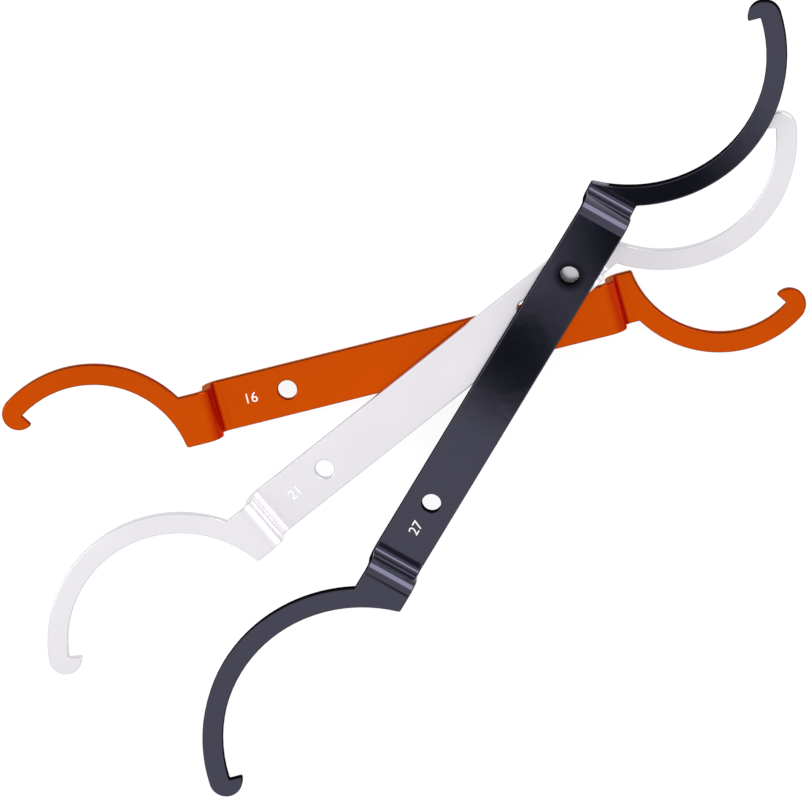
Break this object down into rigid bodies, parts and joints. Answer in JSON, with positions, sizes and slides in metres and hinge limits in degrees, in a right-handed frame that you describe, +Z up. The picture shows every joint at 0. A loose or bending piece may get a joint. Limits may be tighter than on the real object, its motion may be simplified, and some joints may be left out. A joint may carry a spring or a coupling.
{
  "type": "offset hook wrench set",
  "caption": "Double-ended offset hook wrenches in graded sizes, bent from lacquered steel strip, fanned out and crossed, each with a hanging hole and a toothed C hook at both ends.",
  "frame": {"origin": "on the table, under the middle of the whole set's box", "axes": "+Z up, square to the table; +X to the right and +Y away from the reader when the numbers near the left ends read upright"},
  "size_m": [0.1492, 0.1536, 0.0193],
  "materials": {
    "orange_lacquer": "gloss",
    "silver_lacquer": "gloss",
    "black_lacquer": "gloss"
  },
  "bodies": {
    "orange_wrench": {"orange_wrench": "orange_lacquer"},
    "silver_wrench": {"silver_wrench": "silver_lacquer"},
    "black_wrench": {"black_wrench": "black_lacquer"}
  },
  "joints": [
    {"name": "silver_lift", "type": "slide", "parent": "orange_wrench", "child": "silver_wrench", "axis": [0, 0, 1], "range_m": [0, 0.04]},
    {"name": "black_lift", "type": "slide", "parent": "silver_wrench", "child": "black_wrench", "axis": [0, 0, 1], "range_m": [0, 0.04]}
  ]
}
